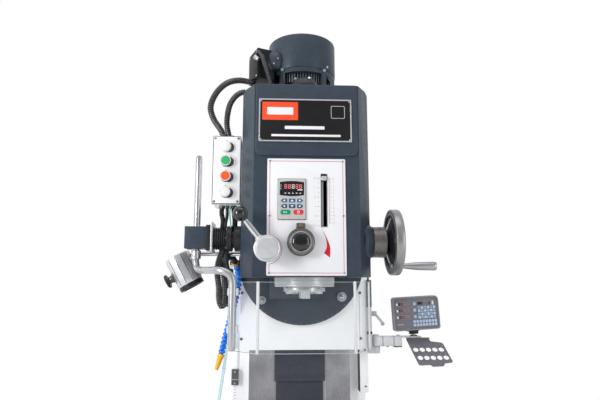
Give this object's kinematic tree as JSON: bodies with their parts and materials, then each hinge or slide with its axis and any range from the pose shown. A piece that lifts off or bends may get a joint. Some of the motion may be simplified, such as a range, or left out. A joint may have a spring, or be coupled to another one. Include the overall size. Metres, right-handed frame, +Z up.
{
  "type": "benchtop milling machine",
  "caption": "Vertical milling machine: compound table on a bolt-down base, column with climbing carriage, tilting head with quill, guard, lamp and digital readout.",
  "frame": {"origin": "on the underside of the base, straight below the spindle axis", "axes": "+Z up along the spindle, +X to the operator's right along the table, +Y from the operator towards the column"},
  "size_m": [0.93, 1.004, 1.605],
  "materials": {
    "slate_paint": "satin slate-blue enamel",
    "white_paint": "semi-gloss white enamel",
    "ground_iron": "ground, lightly oiled",
    "steel": "turned and ground",
    "dark_steel": "blackened, worn at the edges",
    "chrome": "polished",
    "aluminium": "satin",
    "grey_plastic": "moulded, fine texture",
    "black_plastic": "moulded",
    "rubber": "matt sheet",
    "bronze": "machined",
    "panel_print": "printed overlay",
    "clear_plastic": "clear polycarbonate",
    "green_plastic": "moulded",
    "orange_plastic": "moulded",
    "white_plastic": "moulded",
    "blue_plastic": "moulded"
  },
  "bodies": {
    "frame": {"base_casting": "slate_paint", "column_casting": "white_paint", "column_way_cover": "rubber", "electrical_cabinet": "white_paint"},
    "z_screw": {"z_leadscrew": "steel"},
    "z_wheel": {"z_handwheel": "dark_steel"},
    "saddle": {"saddle_casting": "slate_paint", "y_feed_nut": "bronze"},
    "table": {"table": "ground_iron", "table_end_bracket": "slate_paint"},
    "x_feed": {"x_feed_screw": "steel"},
    "y_feed": {"y_feed_screw": "steel"},
    "carriage": {"carriage_casting": "white_paint", "z_nut_bracket": "bronze", "way_wiper_flap": "rubber", "scale_cover": "white_paint", "readout_bracket": "grey_plastic", "coolant_hose": "blue_plastic", "coolant_supply_tube": "clear_plastic"},
    "lock_lever": {"carriage_lock_lever": "chrome"},
    "readout_arm": {"readout_arm": "aluminium", "tool_tray": "grey_plastic"},
    "readout": {"readout_console": "grey_plastic"},
    "head": {"head_casting": "slate_paint", "swivel_neck": "slate_paint", "front_cover": "slate_paint", "nameplate": "black_plastic", "control_panel": "panel_print", "keypad": "grey_plastic", "spindle_nose_ring": "aluminium", "drive_sleeve_bearing": "steel", "drawbar_cap": "black_plastic", "button_station": "white_paint", "motor_mount": "slate_paint", "motor_stator": "black_plastic", "fan_cowl": "slate_paint", "terminal_box": "black_plastic", "motor_conduit": "black_plastic", "lamp_arm": "black_plastic", "guard_pivot_housing": "black_plastic"},
    "quill": {"quill": "steel", "quill_bearing_lower": "steel", "quill_bearing_upper": "steel", "depth_pointer": "aluminium"},
    "spindle": {"spindle": "steel", "drawbar": "dark_steel"},
    "drive_gear": {"drive_sleeve_gear": "dark_steel"},
    "motor_rotor": {"motor_rotor_and_fan": "dark_steel"},
    "feed_wheel": {"feed_shaft_and_dial": "dark_steel", "quill_handwheel": "dark_steel"},
    "crank_grip": {"quill_crank_grip": "aluminium"},
    "range_lever": {"range_lever": "aluminium"},
    "speed_knob": {"speed_knob": "dark_steel"},
    "button_upper": {"push_button_upper": "green_plastic"},
    "button_middle": {"push_button_middle": "orange_plastic"},
    "button_lower": {"push_button_lower": "white_plastic"},
    "lamp": {"lamp_head": "aluminium"},
    "guard_clamp": {"guard_clamp_block": "slate_paint"},
    "guard": {"guard_rod": "chrome", "guard_screen": "clear_plastic"}
  },
  "joints": [
    {"name": "elevating_wheel_turn", "type": "hinge", "parent": "frame", "child": "z_wheel", "pos_m": [0.24, 0.345, 0.24], "axis": [1, 0, 0], "range_deg": [-19440, 2880]},
    {"name": "leadscrew_turn", "type": "hinge", "parent": "frame", "child": "z_screw", "pos_m": [0, 0.345, 0.2], "axis": [0, 0, 1], "range_deg": [-19440, 2880]},
    {"name": "head_elevate", "type": "slide", "parent": "frame", "child": "carriage", "axis": [0, 0, 1], "range_m": [-0.27, 0.04]},
    {"name": "cross_wheel_turn", "type": "hinge", "parent": "frame", "child": "y_feed", "pos_m": [0, -0.348, 0.176], "axis": [0, 1, 0], "range_deg": [-6480, 6480]},
    {"name": "saddle_slide", "type": "slide", "parent": "frame", "child": "saddle", "axis": [0, 1, 0], "range_m": [-0.09, 0.09]},
    {"name": "table_slide", "type": "slide", "parent": "saddle", "child": "table", "axis": [1, 0, 0], "range_m": [-0.2, 0.2]},
    {"name": "table_wheel_turn", "type": "hinge", "parent": "table", "child": "x_feed", "pos_m": [0.436, 0, 0.247], "axis": [1, 0, 0], "range_deg": [-14400, 14400]},
    {"name": "lock_lever_turn", "type": "hinge", "parent": "carriage", "child": "lock_lever", "pos_m": [0.24, 0.225, 0.728], "axis": [1, 0, 0], "range_deg": [-45, 45]},
    {"name": "readout_swivel", "type": "hinge", "parent": "carriage", "child": "readout_arm", "pos_m": [0.246, 0.225, 0.64], "axis": [0, 0, 1], "range_deg": [-15, 60]},
    {"name": "readout_tilt", "type": "hinge", "parent": "readout_arm", "child": "readout", "pos_m": [0.372, 0.225, 0.668], "axis": [0.9928, 0.1197, 0], "range_deg": [-12, 12]},
    {"name": "head_tilt", "type": "hinge", "parent": "carriage", "child": "head", "pos_m": [0, 0.16, 0.895], "axis": [0, -1, 0], "range_deg": [-45, 45]},
    {"name": "quill_wheel_turn", "type": "hinge", "parent": "head", "child": "feed_wheel", "pos_m": [0.24, -0.0534, 0.94], "axis": [-1, 0, 0], "range_deg": [0, 570]},
    {"name": "quill_feed", "type": "slide", "parent": "head", "child": "quill", "axis": [0, 0, -1], "range_m": [0, 0.12]},
    {"name": "crank_grip_spin", "type": "hinge", "parent": "feed_wheel", "child": "crank_grip", "pos_m": [0.3, -0.0534, 0.874], "axis": [1, 0, 0], "continuous": true},
    {"name": "spindle_spin", "type": "hinge", "parent": "quill", "child": "spindle", "pos_m": [0, 0, 0.8], "axis": [0, 0, 1], "continuous": true},
    {"name": "drive_gear_spin", "type": "hinge", "parent": "head", "child": "drive_gear", "pos_m": [0, 0, 1.25], "axis": [0, 0, 1], "continuous": true},
    {"name": "motor_spin", "type": "hinge", "parent": "head", "child": "motor_rotor", "pos_m": [0, 0.13, 1.4], "axis": [0, 0, 1], "continuous": true},
    {"name": "range_lever_turn", "type": "hinge", "parent": "head", "child": "range_lever", "pos_m": [-0.104, -0.15, 0.914], "axis": [0, 1, 0], "range_deg": [-50, 60]},
    {"name": "speed_knob_turn", "type": "hinge", "parent": "head", "child": "speed_knob", "pos_m": [-0.017, -0.15, 0.932], "axis": [0, 1, 0], "range_deg": [0, 270]},
    {"name": "button_upper_press", "type": "slide", "parent": "head", "child": "button_upper", "axis": [0, 1, 0], "range_m": [0, 0.004]},
    {"name": "button_middle_press", "type": "slide", "parent": "head", "child": "button_middle", "axis": [0, 1, 0], "range_m": [0, 0.004]},
    {"name": "button_lower_press", "type": "slide", "parent": "head", "child": "button_lower", "axis": [0, 1, 0], "range_m": [0, 0.004]},
    {"name": "lamp_swivel", "type": "hinge", "parent": "head", "child": "lamp", "pos_m": [-0.308, 0.05, 0.912], "axis": [0, 1, 0], "range_deg": [-20, 20]},
    {"name": "guard_swing", "type": "hinge", "parent": "head", "child": "guard_clamp", "pos_m": [-0.3, -0.03, 0.95], "axis": [1, 0, 0], "range_deg": [-90, 0]},
    {"name": "guard_height", "type": "slide", "parent": "guard_clamp", "child": "guard", "axis": [0, 0, 1], "range_m": [-0.18, 0]}
  ],
  "couplings": [
    {"joint": "elevating_wheel_turn", "follows": "head_elevate", "rad_per_m": 1256.6},
    {"joint": "leadscrew_turn", "follows": "head_elevate", "rad_per_m": 1256.6},
    {"joint": "cross_wheel_turn", "follows": "saddle_slide", "rad_per_m": 1256.6},
    {"joint": "table_wheel_turn", "follows": "table_slide", "rad_per_m": 1256.6},
    {"joint": "quill_feed", "follows": "quill_wheel_turn", "m_per_rad": 0.012},
    {"joint": "drive_gear_spin", "follows": "spindle_spin", "ratio": 1},
    {"joint": "motor_spin", "follows": "spindle_spin", "ratio": -2.0588}
  ]
}
